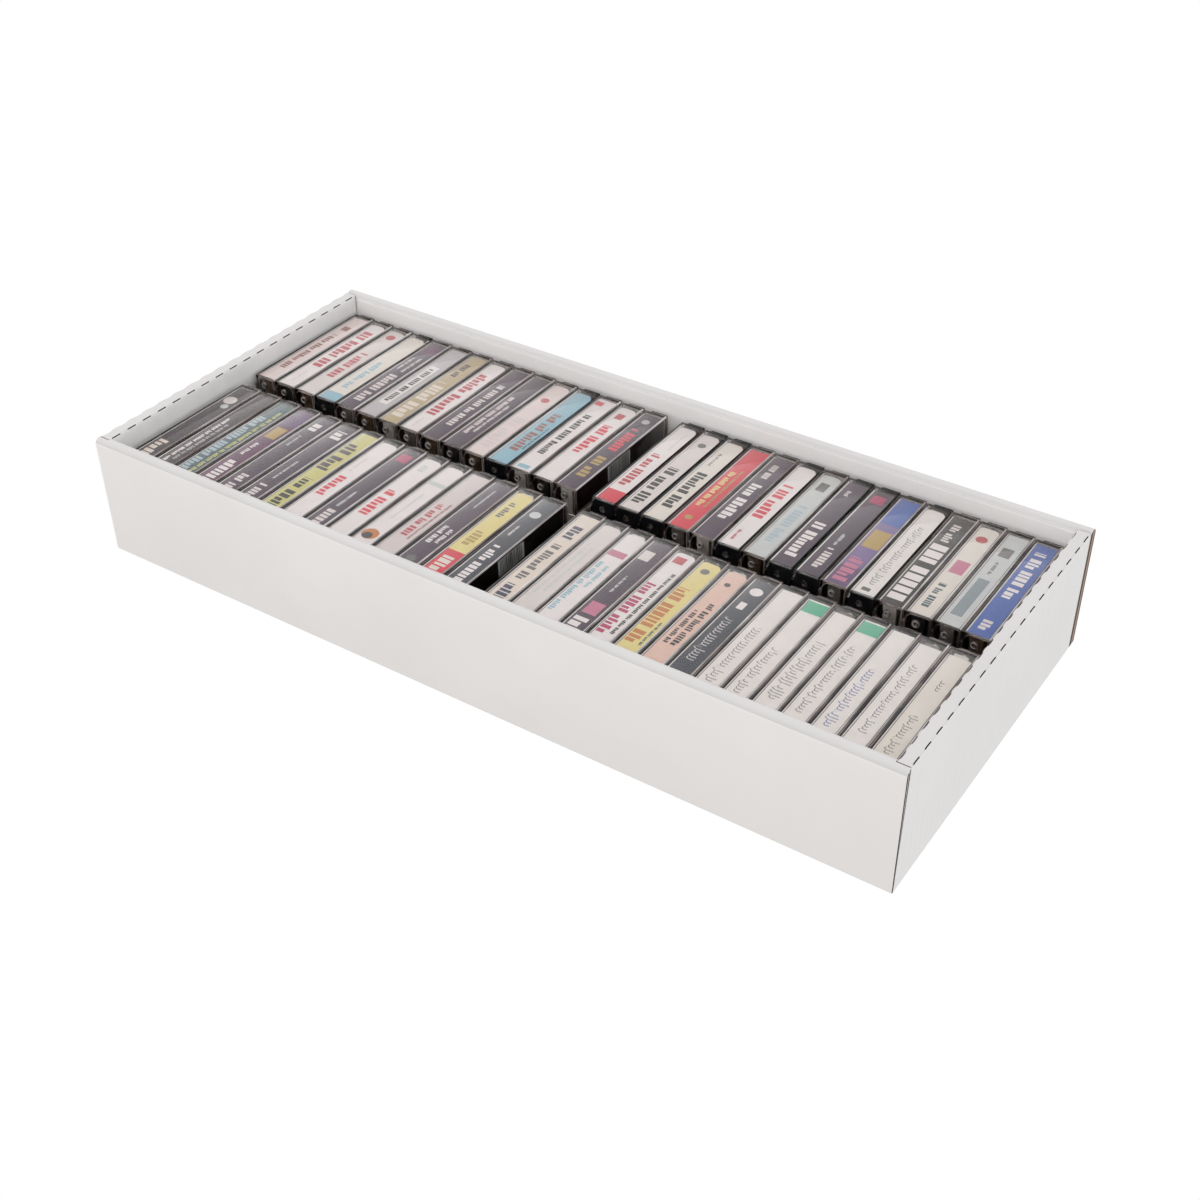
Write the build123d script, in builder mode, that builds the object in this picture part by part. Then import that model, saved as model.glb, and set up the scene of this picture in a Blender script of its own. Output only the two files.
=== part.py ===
"""Open storage tray of folded corrugated board, filled with sixty hinged cassette cases that stand spine up.

Millimetres, +Z up. X runs along the tray, -Y is its front. The origin is the middle of the tray's underside.
Each case is built about its own origin, the middle of its free edge, and is then set in its place in the tray.
"""

import os
from math import hypot, sqrt

from build123d import *

os.makedirs("parts", exist_ok=True)

# ---- Compact cassette: across the case (Y), up the case (Z), through the case (X) ----
cassette_width = 100.4
cassette_height = 63.8
cassette_thin = 8.7  # over the hubs
cassette_thick = 12.0  # over the nose, at the open tape edge
nose_height = 15.0
nose_wide = 66.0
nose_narrow = 60.0
hub_spacing = 42.5
hub_rise = 28.8  # hub centres above the closed edge
shell_corner = 2.0
shell_wall = 1.2
shell_hole_radius = 5.6

# ---- Hinged case ----
styrene = 1.4  # every moulded wall
cassette_end_play = 1.35  # cassette to pocket end, each end
cassette_face_gap = 1.1  # cassette nose to panel, each face
cassette_top_gap = 0.6
cassette_foot_gap = 2.3
ear_clearance = 0.15  # lid's pocket ends to the base's ears
closing_clearance = 0.1  # base's front edges to the lid's front panel
pocket_depth = 20.0
hinge_drop = 6.2  # hinge axis below the spine
pin_radius = 2.2
pin_bore = 1.1
pin_clearance = 0.05
swing_clearance = 0.3
peg_radius = 2.6
peg_reach = 3.15  # how far a peg stands inside the cassette's hub
lug_length = 8.8
lug_width = 1.4

# ---- J-card ----
card = 0.25
card_clearance = 0.15
card_end_gap = 0.8  # card to pocket end, each end
card_foot_gap = 1.55  # front panel of the card to the free-edge wall
card_flap = 16.0

# ---- Tray ----
board = 4.0  # one thickness of corrugated board
fold_gap = 0.5  # air between the two panels of a folded wall
bottom_fold = 1.5  # radius where the board turns up from the floor
joint_clearance = 0.1
headroom = 12.0  # wall above the spines
slit_count = 18
slit_length = 7.0
slit_width = 0.9
tab_length = 40.0
tab_spacing = 120.0
tab_clearance = 0.25

# ---- How the cases stand: air between neighbours, blocks and walls ----
cases_per_block = 15
row_gap = 12.8
front_margin = 2.2
rear_margin = 4.0
right_margin = 4.2  # least air at the right end
rear_left_margin = 3.0
front_left_margin = 5.2
rear_block_gap = 11.7
front_block_gap = 12.0
rear_left_slack = 1.0
rear_right_slack = 0.62
front_left_slack = 1.08
front_right_slack = 0.39
# Cases with a black base, counted from the left of each block, from zero. The first of the rear right is one.
rear_left_black = (3, 11)
rear_right_black = (1, 2, 5, 7, 8, 10)

# ---- Inside the cassette ----
pane_width = 24.0
pane_height = 11.0
pane_clearance = 0.05
hub_radius = 10.8
hub_core = 4.8
hub_bore = 4.9
hub_clearance = 0.15
tooth_tip = 3.8
tooth_width = 1.5
tooth_count = 6
clip_length = 3.0
clip_depth = 1.6
clip_clearance = 0.05
tape_width = 3.8
tape = 0.12
pack_air = 5.6  # full pack to the shell's far wall
part_pack_share = 0.73  # radius of the other pack, as a share of the full one
pack_clearance = 0.05
roller_radius = 3.0
roller_side = 10.2  # roller centres in from the shell's ends
roller_inset = 6.0  # roller centres below the open tape edge
roller_pin_radius = 0.95
roller_clearance = 0.05
pad_length = 4.6
pad_height = 1.5
spring = 0.25
spring_width = 4.2
post_spread = 27.0
post_width = 2.0
post_height = 5.0
shield = 0.5
shield_clearance = 0.2  # each end of the shield to its spring post
shield_width = 6.0
shield_gap = 1.6
sheet = 0.1
sheet_margin = 5.0  # slip sheets to the shell's walls
sheet_gap = 0.05
paper = 0.1
label_side_margin = 6.2
label_margin = 3.4  # label to the shell's far edge and to the nose
label_slot_width = 62.0
label_slot_height = 16.0
head_opening = 16.0
side_opening = 9.0
side_opening_spread = 40.0
opening_depth = 5.0
capstan_radius = 2.8
capstan_spread = 34.0
capstan_drop = 9.0

# ---- What follows from the sizes above ----
pocket_inside = cassette_width + 2 * cassette_end_play
pocket_outside = pocket_inside + 2 * styrene
case_length = pocket_outside + 2 * (ear_clearance + styrene)
case_thickness = cassette_thick + 2 * (cassette_face_gap + styrene)
case_height = cassette_height + cassette_top_gap + cassette_foot_gap + 2 * styrene
half_case = case_thickness / 2
panel_inside = half_case - styrene
hinge_height = case_height - hinge_drop
strip_foot = case_height - pocket_depth
ear_radius = panel_inside - closing_clearance
# The strip's lower corner swings on this radius; the back panel stops below where it comes through.
strip_corner = hypot(half_case, hinge_height - strip_foot)
back_panel_top = hinge_height - sqrt(strip_corner**2 - panel_inside**2) - swing_clearance
card_top = case_height - styrene - card_clearance
card_foot = styrene + card_foot_gap
card_outside = panel_inside - card_clearance
card_width = pocket_inside - 2 * card_end_gap
tape_edge = case_height - styrene - cassette_top_gap
cassette_foot = tape_edge - cassette_height
hub_height = cassette_foot + hub_rise

wall = 2 * board + fold_gap
blocks = {
    "rear_left": (rear_left_margin, rear_left_slack),
    "rear_right": (rear_block_gap, rear_right_slack),
    "front_left": (front_left_margin, front_left_slack),
    "front_right": (front_block_gap, front_right_slack),
}
block_length = {
    name: cases_per_block * case_thickness + (cases_per_block - 1) * slack for name, (_, slack) in blocks.items()
}
rear_row = rear_left_margin + block_length["rear_left"] + rear_block_gap + block_length["rear_right"]
front_row = front_left_margin + block_length["front_left"] + front_block_gap + block_length["front_right"]
inside_length = max(rear_row, front_row) + right_margin
inside_width = front_margin + rear_margin + row_gap + 2 * case_length
tray_length = inside_length + 2 * wall
tray_width = inside_width + 2 * wall
tray_height = board + case_height + headroom
row_y = {
    "front": -inside_width / 2 + front_margin + case_length / 2,
    "rear": inside_width / 2 - rear_margin - case_length / 2,
}


def case_places(block):
    """Where each case of a block stands, as the place of its own origin."""
    row = block.split("_")[0]
    margin, slack = blocks[block]
    start = -inside_length / 2 + margin
    if block.endswith("right"):
        start += blocks[row + "_left"][0] + block_length[row + "_left"]
    pitch = case_thickness + slack
    return [(start + half_case + n * pitch, row_y[row], board) for n in range(cases_per_block)]


def write(piece, name):
    """Names a finished piece and writes it to its own file."""
    piece.label = name
    export_step(piece, f"parts/{name}.step")


def stand(piece, places, name):
    """Sets copies of a piece at the given places and writes them as one node."""
    with BuildPart() as placed:
        with Locations(*places):
            add(piece)
    write(placed.part, name)


# ==== Tray: one sheet of board, folded up ====


def long_wall(side, inner_length):
    """Front (-1) or back (+1) wall: the board goes up, rolls over and comes down inside onto the floor."""
    middle = side * (tray_width - wall) / 2
    roll_height = tray_height - wall / 2
    with BuildPart() as folded:
        for length, outer_only in ((inner_length, False), (tray_length, True)):
            with BuildSketch(Plane.YZ) as section:
                with Locations((middle, roll_height)):
                    Circle(wall / 2)
                with Locations((middle, 0)):
                    Rectangle(wall, roll_height, align=(Align.CENTER, Align.MIN))
                with Locations((middle, roll_height)):
                    Circle(fold_gap / 2, mode=Mode.SUBTRACT)
                    Rectangle(fold_gap, roll_height, align=(Align.CENTER, Align.MAX), mode=Mode.SUBTRACT)
                with Locations((middle - side * (wall - board) / 2, 0)):
                    Rectangle(board, board, align=(Align.CENTER, Align.MIN), mode=Mode.SUBTRACT)
                outer_foot = section.vertices().group_by(Axis.Y)[0].sort_by(Axis.X)[0 if side < 0 else -1]
                fillet(outer_foot, radius=bottom_fold)
                if outer_only:
                    with Locations((side * (tray_width - board) / 2, 0)):
                        Rectangle(board, tray_height, align=(Align.CENTER, Align.MIN), mode=Mode.INTERSECT)
            extrude(amount=length / 2, both=True)
    return folded.part


def end_wall(side):
    """Left (-1) or right (+1) end wall: folded over along two lines of slits, locked by tabs in the floor."""
    front_face = -tray_width / 2 + board + joint_clearance
    rear_face = tray_width / 2 - wall - joint_clearance
    middle_y = (front_face + rear_face) / 2
    span = rear_face - front_face
    middle_x = side * (tray_length - wall) / 2
    inner_x = side * (tray_length / 2 - wall + board / 2)
    with BuildPart() as folded:
        with BuildSketch(Plane.XZ.offset(-middle_y)):
            with Locations((middle_x, 0)):
                Rectangle(wall, tray_height, align=(Align.CENTER, Align.MIN))
                Rectangle(fold_gap, tray_height - board, align=(Align.CENTER, Align.MIN), mode=Mode.SUBTRACT)
            with Locations((inner_x, 0)):
                Rectangle(board, board, align=(Align.CENTER, Align.MIN), mode=Mode.SUBTRACT)
        extrude(amount=span / 2, both=True)
        # Lock tabs, down through the floor.
        with BuildSketch(Plane.XY):
            with Locations((inner_x, middle_y)):
                with GridLocations(tab_spacing, tab_spacing, 1, 2):
                    Rectangle(board, tab_length)
        extrude(amount=board)
        # Slits along both fold lines, cut in at 45 degrees.
        for fold_x, inward in ((side * tray_length / 2, -side), (side * (tray_length / 2 - wall), side)):
            fold_line = Plane(origin=(fold_x, middle_y, tray_height), x_dir=(0, 1, 0), z_dir=(inward, 0, -1))
            with BuildSketch(fold_line):
                with GridLocations(span / slit_count, slit_width, slit_count, 1):
                    Rectangle(slit_length, slit_width)
            extrude(amount=board, mode=Mode.SUBTRACT)
    return folded.part


with BuildPart() as tray_floor:
    with BuildSketch():
        Rectangle(tray_length - 2 * board, tray_width - 2 * board)
        tab_y = (board - wall) / 2
        with Locations((0, tab_y)):
            with GridLocations(tray_length - 2 * wall + board, tab_spacing, 2, 2):
                Rectangle(board + 2 * tab_clearance, tab_length + 2 * tab_clearance, mode=Mode.SUBTRACT)
    extrude(amount=board)
write(tray_floor.part, "tray_floor")
write(long_wall(-1, inside_length), "tray_front_wall")
write(long_wall(1, tray_length), "tray_back_wall")
write(end_wall(-1), "tray_left_end_wall")
write(end_wall(1), "tray_right_end_wall")


# ==== Hinged case ====


def case_lid(with_pins):
    """Front panel, spine wall and pocket, one moulding. The hollow pins are left off cases that stay shut."""
    with BuildPart() as lid:
        # Front panel, spine wall and the pocket's back strip.
        with BuildSketch(Plane.XZ):
            with BuildLine():
                Polyline(
                    (-half_case, 0),
                    (-half_case, case_height),
                    (half_case, case_height),
                    (half_case, strip_foot),
                    (panel_inside, strip_foot),
                    (panel_inside, case_height - styrene),
                    (-panel_inside, case_height - styrene),
                    (-panel_inside, 0),
                    close=True,
                )
            make_face()
        extrude(amount=pocket_outside / 2, both=True)
        # Below the hinge the front panel is as wide as the case.
        with BuildSketch(Plane.YZ.offset(-half_case)):
            Rectangle(case_length, hinge_height - closing_clearance, align=(Align.CENTER, Align.MIN))
        extrude(amount=styrene)
        for side in (-1, 1):
            with BuildSketch(Plane.XZ.offset(side * pocket_outside / 2)):
                with Locations((0, strip_foot)):
                    Rectangle(case_thickness, pocket_depth, align=(Align.CENTER, Align.MIN))
            extrude(amount=-side * styrene)
            if with_pins:
                with BuildSketch(Plane.XZ.offset(side * pocket_outside / 2)):
                    with Locations((0, hinge_height)):
                        Circle(pin_radius)
                        Circle(pin_bore, mode=Mode.SUBTRACT)
                extrude(amount=side * (case_length - pocket_outside) / 2)
    return lid.part


def case_base(with_pegs):
    """Back panel, free-edge wall and end walls with ears. Cases that stay shut have no pegs or pin holes."""
    with BuildPart() as base:
        with BuildSketch(Plane.YZ.offset(panel_inside)):
            Rectangle(case_length, back_panel_top, align=(Align.CENTER, Align.MIN))
        extrude(amount=styrene)
        with BuildSketch():
            with Locations((half_case, 0)):
                Rectangle(half_case + ear_radius, case_length, align=(Align.MAX, Align.CENTER))
        extrude(amount=styrene)
        for side in (-1, 1):
            with BuildSketch(Plane.XZ.offset(side * case_length / 2)):
                with Locations((half_case, 0)):
                    Rectangle(half_case + ear_radius, hinge_height, align=(Align.MAX, Align.MIN))
                if with_pegs:
                    with Locations((0, hinge_height)):
                        Circle(ear_radius)
                        Rectangle(half_case, hinge_drop, align=(Align.MIN, Align.MIN))
                    with Locations((0, case_height)):
                        Rectangle(case_thickness, case_height, align=(Align.CENTER, Align.MIN), mode=Mode.SUBTRACT)
                    with Locations((0, hinge_height)):
                        Circle(pin_radius + pin_clearance, mode=Mode.SUBTRACT)
                else:
                    with BuildLine():
                        Polyline(
                            (-ear_radius, hinge_height),
                            (0, case_height),
                            (half_case, case_height),
                            (half_case, hinge_height),
                            close=True,
                        )
                    make_face()
            extrude(amount=-side * styrene)
        if with_pegs:
            # Round pegs with two lugs each, which stand between the teeth of the hubs and keep them from turning.
            with BuildSketch(Plane.YZ.offset(panel_inside)):
                with Locations((0, hub_height)):
                    with GridLocations(hub_spacing, hub_spacing, 2, 1):
                        Circle(peg_radius)
                        Rectangle(lug_length, lug_width)
            extrude(amount=-(panel_inside - cassette_thin / 2 + peg_reach))
    return base.part


def j_card():
    """Card folded round the cassette: front panel, spine and short back flap."""
    with BuildPart() as folded:
        with BuildSketch(Plane.XZ):
            with BuildLine():
                Polyline(
                    (-card_outside, card_foot),
                    (-card_outside, card_top),
                    (card_outside, card_top),
                    (card_outside, card_top - card_flap),
                    (card_outside - card, card_top - card_flap),
                    (card_outside - card, card_top - card),
                    (-card_outside + card, card_top - card),
                    (-card_outside + card, card_foot),
                    close=True,
                )
            make_face()
        extrude(amount=card_width / 2, both=True)
    return folded.part


def nose_outline(inset):
    """Face of the cassette's nose, inside the given inset. It widens towards the open tape edge."""
    with BuildSketch(mode=Mode.PRIVATE) as nose:
        with BuildLine():
            Polyline(
                (-nose_narrow / 2 + inset, tape_edge - nose_height + inset),
                (-nose_wide / 2 + inset, tape_edge - inset),
                (nose_wide / 2 - inset, tape_edge - inset),
                (nose_narrow / 2 - inset, tape_edge - nose_height + inset),
                close=True,
            )
        make_face()
    return nose.sketch


def plain_cassette(with_holes):
    """Cassette of a case that nobody opens: its outer form, with its two hub holes where pegs stand in them."""
    with BuildPart() as cassette:
        with BuildSketch(Plane.YZ):
            with Locations((0, cassette_foot)):
                Rectangle(cassette_width, cassette_height, align=(Align.CENTER, Align.MIN))
        extrude(amount=cassette_thin / 2, both=True)
        with BuildSketch(Plane.YZ):
            add(nose_outline(0))
        extrude(amount=cassette_thick / 2, both=True)
        if with_holes:
            with BuildSketch(Plane.YZ):
                with Locations((0, hub_height)):
                    with GridLocations(hub_spacing, hub_spacing, 2, 1):
                        Circle(hub_bore)
            extrude(amount=cassette_thin, both=True, mode=Mode.SUBTRACT)
    return cassette.part


shut_lid = case_lid(False)
shut_base = case_base(False)
shut_cassette = plain_cassette(False)
card_piece = j_card()
hinged_lid = case_lid(True)
hinged_base = case_base(True)

black_bases = {"rear_left": rear_left_black, "rear_right": rear_right_black}
# The case beside the gap in each block can be pulled out: the last of a left block, the first of a right one.
gap_case = {block: 0 if block.endswith("right") else cases_per_block - 1 for block in blocks}

for block in blocks:
    places = case_places(block)
    staying = [n for n in range(cases_per_block) if n != gap_case[block]]
    black = [n for n in staying if n in black_bases.get(block, ())]
    clear = [n for n in staying if n not in black]
    stand(shut_base, [places[n] for n in clear], f"{block}_case_bases")
    if black:
        stand(shut_base, [places[n] for n in black], f"{block}_black_case_bases")
    stand(shut_lid, [places[n] for n in staying], f"{block}_case_lids")
    stand(card_piece, [places[n] for n in staying], f"{block}_j_cards")
    stand(shut_cassette, [places[n] for n in staying], f"{block}_cassettes")
    # Only the right blocks' gap cases have room beside them for an open lid. The left ones come out shut.
    opens = block.endswith("right")
    gap_place = [places[gap_case[block]]]
    stand(hinged_base if opens else shut_base, gap_place, f"{block}_gap_case_base")
    stand(hinged_lid if opens else shut_lid, gap_place, f"{block}_gap_case_lid")
    stand(card_piece, gap_place, f"{block}_gap_case_j_card")
    if block == "rear_right":
        stand(plain_cassette(True), gap_place, f"{block}_gap_case_cassette")
    elif not opens:
        stand(shut_cassette, gap_place, f"{block}_gap_case_cassette")


# ==== Cassette of the front right gap case, with everything inside it ====

opened_case = [case_places("front_right")[gap_case["front_right"]]]
inner_face = cassette_thin / 2 - shell_wall
full_pack_radius = hub_rise - shell_wall - pack_air
part_pack_radius = part_pack_share * full_pack_radius
roller_spread = cassette_width - 2 * roller_side
sheet_width = cassette_width - 2 * (shell_wall + sheet_margin)
sheet_height = 2 * (hub_rise - shell_wall - sheet_margin)
label_width = cassette_width - 2 * label_side_margin
label_height = cassette_height - nose_height - 2 * label_margin
roller_height = tape_edge - roller_inset
# The tape's middle runs on this radius round the rollers, and on this line along the open edge.
roller_turn = roller_radius + roller_clearance + tape / 2
tape_line = roller_height + roller_turn
pad_foot = tape_line - tape - pad_height


def shell_half(side):
    """Half of the cassette's welded shell, from the joint plane to its back (+1) or front (-1) face."""
    with BuildPart() as half:
        with BuildSketch(Plane.YZ):
            with Locations((0, cassette_foot + cassette_height / 2)):
                RectangleRounded(cassette_width, cassette_height, shell_corner)
        extrude(amount=side * cassette_thin / 2)
        with BuildSketch(Plane.YZ):
            add(nose_outline(0))
        extrude(amount=side * cassette_thick / 2)
        with BuildSketch(Plane.YZ):
            with Locations((0, cassette_foot + cassette_height / 2)):
                Rectangle(cassette_width - 2 * shell_wall, cassette_height - 2 * shell_wall)
        extrude(amount=side * inner_face, mode=Mode.SUBTRACT)
        with BuildSketch(Plane.YZ):
            add(nose_outline(shell_wall))
        extrude(amount=side * (cassette_thick / 2 - shell_wall), mode=Mode.SUBTRACT)
        # Posts that hold the pad's spring.
        with BuildSketch(Plane.YZ):
            with Locations((0, pad_foot + pad_height / 2)):
                with GridLocations(post_spread + post_width, post_height, 2, 1):
                    Rectangle(post_width, post_height, align=(Align.CENTER, Align.MAX))
        extrude(amount=side * (cassette_thick - shell_wall) / 2)
        with BuildSketch(Plane.YZ):
            with Locations((0, tape_edge - capstan_drop)):
                with GridLocations(capstan_spread, capstan_spread, 2, 1):
                    Circle(capstan_radius)
            with Locations((0, hub_height)):
                Rectangle(pane_width, pane_height)
                with GridLocations(hub_spacing, hub_spacing, 2, 1):
                    Circle(shell_hole_radius)
        extrude(amount=side * cassette_thick, mode=Mode.SUBTRACT)
        # Openings for the heads, through the open tape edge.
        with BuildSketch(Plane.YZ):
            with Locations((0, tape_edge)):
                Rectangle(head_opening, 2 * shell_wall)
                with GridLocations(side_opening_spread, side_opening_spread, 2, 1):
                    Rectangle(side_opening, 2 * shell_wall)
        extrude(amount=side * opening_depth / 2, mode=Mode.SUBTRACT)
    return half.part


stand(shell_half(-1), opened_case, "cassette_shell_front")
stand(shell_half(1), opened_case, "cassette_shell_back")

for side, face in ((-1, "front"), (1, "back")):
    with BuildPart() as window_pane:
        with BuildSketch(Plane.YZ.offset(side * inner_face)):
            with Locations((0, hub_height)):
                Rectangle(pane_width - 2 * pane_clearance, pane_height - 2 * pane_clearance)
        extrude(amount=side * shell_wall)
    stand(window_pane.part, opened_case, f"cassette_window_{face}")

    with BuildPart() as slip_sheet:
        with BuildSketch(Plane.YZ.offset(side * (inner_face - sheet_gap))):
            with Locations((0, hub_height)):
                Rectangle(sheet_width, sheet_height)
                Rectangle(pane_width, pane_height, mode=Mode.SUBTRACT)
                with GridLocations(hub_spacing, hub_spacing, 2, 1):
                    Circle(shell_hole_radius, mode=Mode.SUBTRACT)
        extrude(amount=-side * sheet)
    stand(slip_sheet.part, opened_case, f"cassette_slip_sheet_{face}")

    with BuildPart() as paper_label:
        with BuildSketch(Plane.YZ.offset(side * cassette_thin / 2)):
            with Locations((0, (cassette_foot + tape_edge - nose_height) / 2)):
                Rectangle(label_width, label_height)
            with Locations((0, hub_height)):
                SlotOverall(label_slot_width, label_slot_height, mode=Mode.SUBTRACT)
        extrude(amount=side * paper)
    stand(paper_label.part, opened_case, f"cassette_label_{face}")

for side, hand, pack_radius in ((-1, "left", full_pack_radius), (1, "right", part_pack_radius)):
    hub_centre = (side * hub_spacing / 2, hub_height)
    roller_centre = (side * roller_spread / 2, roller_height)

    with BuildPart() as hub:
        with BuildSketch(Plane.YZ):
            with Locations(hub_centre):
                Circle(hub_radius)
                with Locations((0, hub_radius - clip_depth / 2)):
                    Rectangle(clip_length, clip_depth, mode=Mode.SUBTRACT)
        extrude(amount=hub_core / 2, both=True)
        with BuildSketch(Plane.YZ):
            with Locations(hub_centre):
                Circle(shell_hole_radius - hub_clearance)
        extrude(amount=cassette_thin / 2 - hub_clearance, both=True)
        with BuildSketch(Plane.YZ):
            with Locations(hub_centre):
                Circle(hub_bore)
        extrude(amount=cassette_thin, both=True, mode=Mode.SUBTRACT)
        with BuildSketch(Plane.YZ):
            with Locations(hub_centre):
                with PolarLocations((tooth_tip + hub_bore) / 2, tooth_count, start_angle=30):
                    Rectangle(hub_bore - tooth_tip + hub_clearance, tooth_width)
        extrude(amount=hub_core / 2, both=True)
    stand(hub.part, opened_case, f"cassette_hub_{hand}")

    with BuildPart() as tape_pack:
        with BuildSketch(Plane.YZ):
            with Locations(hub_centre):
                Circle(pack_radius)
                Circle(hub_radius + pack_clearance, mode=Mode.SUBTRACT)
        extrude(amount=tape_width / 2, both=True)
    stand(tape_pack.part, opened_case, f"cassette_tape_pack_{hand}")

    with BuildPart() as guide_roller:
        with BuildSketch(Plane.YZ):
            with Locations(roller_centre):
                Circle(roller_radius)
                Circle(roller_pin_radius + roller_clearance, mode=Mode.SUBTRACT)
        extrude(amount=inner_face - 2 * (sheet_gap + sheet), both=True)
    stand(guide_roller.part, opened_case, f"cassette_guide_roller_{hand}")

with BuildPart() as leader_clips:
    with BuildSketch(Plane.YZ):
        with Locations((0, hub_height + hub_radius - clip_depth / 2)):
            with GridLocations(hub_spacing, hub_spacing, 2, 1):
                Rectangle(clip_length - 2 * clip_clearance, clip_depth - 2 * clip_clearance)
    extrude(amount=tape_width / 2, both=True)
stand(leader_clips.part, opened_case, "cassette_leader_clips")

with BuildPart() as roller_pins:
    with BuildSketch(Plane.YZ):
        with Locations((0, roller_height)):
            with GridLocations(roller_spread, roller_spread, 2, 1):
                Circle(roller_pin_radius)
    extrude(amount=inner_face, both=True)
stand(roller_pins.part, opened_case, "cassette_roller_pins")


def outer_tangent(pack_radius):
    """Ends of the straight run from a pack to its roller, for the right side: (at the pack, at the roller)."""
    roller = Vector(roller_spread / 2, roller_height)
    hub = Vector(hub_spacing / 2, hub_height)
    wound_radius = pack_radius + tape
    along = (hub - roller).normalized()
    lean = (roller_turn - wound_radius) / (hub - roller).length
    outward = along * lean + Vector(-along.Y, along.X) * sqrt(1 - lean**2)
    return hub + outward * wound_radius, roller + outward * roller_turn


# The tape leaves each pack on its outer side, turns over the roller and runs along the open edge.
with BuildPart() as tape_run:
    with BuildSketch(Plane.YZ):
        with BuildLine() as tape_path:
            for side, pack_radius in ((-1, full_pack_radius), (1, part_pack_radius)):
                at_pack, at_roller = outer_tangent(pack_radius)
                top = (side * roller_spread / 2, tape_line)
                Line((side * at_pack.X, at_pack.Y), (side * at_roller.X, at_roller.Y))
                RadiusArc((side * at_roller.X, at_roller.Y), top, -side * roller_turn)
            Line((-roller_spread / 2, tape_line), (roller_spread / 2, tape_line))
        trace(tape_path.line, line_width=tape)
    extrude(amount=tape_width / 2, both=True)
stand(tape_run.part, opened_case, "cassette_tape_run")

with BuildPart() as pressure_pad:
    with BuildSketch(Plane.YZ):
        with Locations((0, pad_foot)):
            Rectangle(pad_length, pad_height, align=(Align.CENTER, Align.MIN))
    extrude(amount=tape_width / 2, both=True)
stand(pressure_pad.part, opened_case, "cassette_pressure_pad")

with BuildPart() as pad_spring:
    with BuildSketch(Plane.YZ):
        with Locations((0, pad_foot)):
            Rectangle(post_spread, spring, align=(Align.CENTER, Align.MAX))
    extrude(amount=spring_width / 2, both=True)
stand(pad_spring.part, opened_case, "cassette_pad_spring")

with BuildPart() as magnetic_shield:
    with BuildSketch(Plane.YZ):
        with Locations((0, pad_foot - spring - shield_gap)):
            Rectangle(post_spread - 2 * shield_clearance, shield, align=(Align.CENTER, Align.MAX))
    extrude(amount=shield_width / 2, both=True)
stand(magnetic_shield.part, opened_case, "cassette_magnetic_shield")
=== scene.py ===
"""Open storage tray of folded corrugated board, filled with hinged cassette cases that stand spine up.

Metres, in the CAD model's frame: X runs along the tray, -Y is its front and +Z is up.
"""

import math
import random

import bmesh
import bpy
from mathutils import Matrix, Vector


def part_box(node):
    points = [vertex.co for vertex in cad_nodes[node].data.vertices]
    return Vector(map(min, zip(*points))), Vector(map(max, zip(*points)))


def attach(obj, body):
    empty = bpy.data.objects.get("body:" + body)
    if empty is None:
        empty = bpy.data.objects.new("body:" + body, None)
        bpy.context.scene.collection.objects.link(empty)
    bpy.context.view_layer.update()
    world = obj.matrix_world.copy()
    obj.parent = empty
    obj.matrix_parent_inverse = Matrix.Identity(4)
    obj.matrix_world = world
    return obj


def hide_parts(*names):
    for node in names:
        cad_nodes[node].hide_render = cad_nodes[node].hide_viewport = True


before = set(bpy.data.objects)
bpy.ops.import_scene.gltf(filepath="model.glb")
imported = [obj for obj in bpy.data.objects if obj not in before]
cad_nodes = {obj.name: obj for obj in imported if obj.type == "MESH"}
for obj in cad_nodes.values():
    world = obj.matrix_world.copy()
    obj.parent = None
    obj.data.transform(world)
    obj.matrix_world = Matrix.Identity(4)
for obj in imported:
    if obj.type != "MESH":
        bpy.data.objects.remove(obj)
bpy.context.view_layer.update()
bpy.ops.object.select_all(action="DESELECT")

# ---- Front and back walls ----
# Two flaps of the one sheet of corrugated board. Each goes up, rolls over and comes down inside onto the
# floor. The sheet is lined white on both faces, and its brown core shows only at the cut ends.

roll_radius = 0.0042
bottom_fold = 0.0015
layer = 0.0041
cut_edge_width = {-1: 0.0017, 1: 0.0079}
# How far up a face has to look to be painted in shade as the top of the roll, and as its shoulder.
roll_top = {-1: 0.35, 1: 0.62}
roll_shoulder = 0.3
# What lies closer than this to a plane counts as lying on it.
near = 0.001


def block(name, low, high):
    """A plain block between two corners, as the only selected object."""
    low, high = Vector(low), Vector(high)
    bpy.ops.object.select_all(action="DESELECT")
    bpy.ops.mesh.primitive_cube_add(size=1, location=(low + high) / 2, scale=high - low)
    bpy.ops.object.transform_apply(location=True, rotation=True, scale=True)
    piece = bpy.context.object
    piece.name = piece.data.name = name
    return piece


def pick(kind, wanted):
    """In edit mode, selects the edges or faces of the open piece whose middle passes the test."""
    bpy.ops.mesh.select_mode(type={"edges": "EDGE", "faces": "FACE"}[kind])
    bpy.ops.mesh.select_all(action="DESELECT")
    opened = bmesh.from_edit_mesh(bpy.context.object.data)
    for part in getattr(opened, kind):
        if wanted(sum((v.co for v in part.verts), Vector()) / len(part.verts), part):
            part.select_set(True)
    bmesh.update_edit_mesh(bpy.context.object.data)


def runs_along(edge, axis):
    """True if the edge lies along the given axis, 0 for X, 1 for Y and 2 for Z."""
    span = edge.verts[1].co - edge.verts[0].co
    return abs(span[axis]) > 0.99 * span.length


def hold(piece):
    """Makes a piece the active one and the only one selected."""
    bpy.ops.object.select_all(action="DESELECT")
    bpy.context.view_layer.objects.active = piece
    piece.select_set(True)


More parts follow.
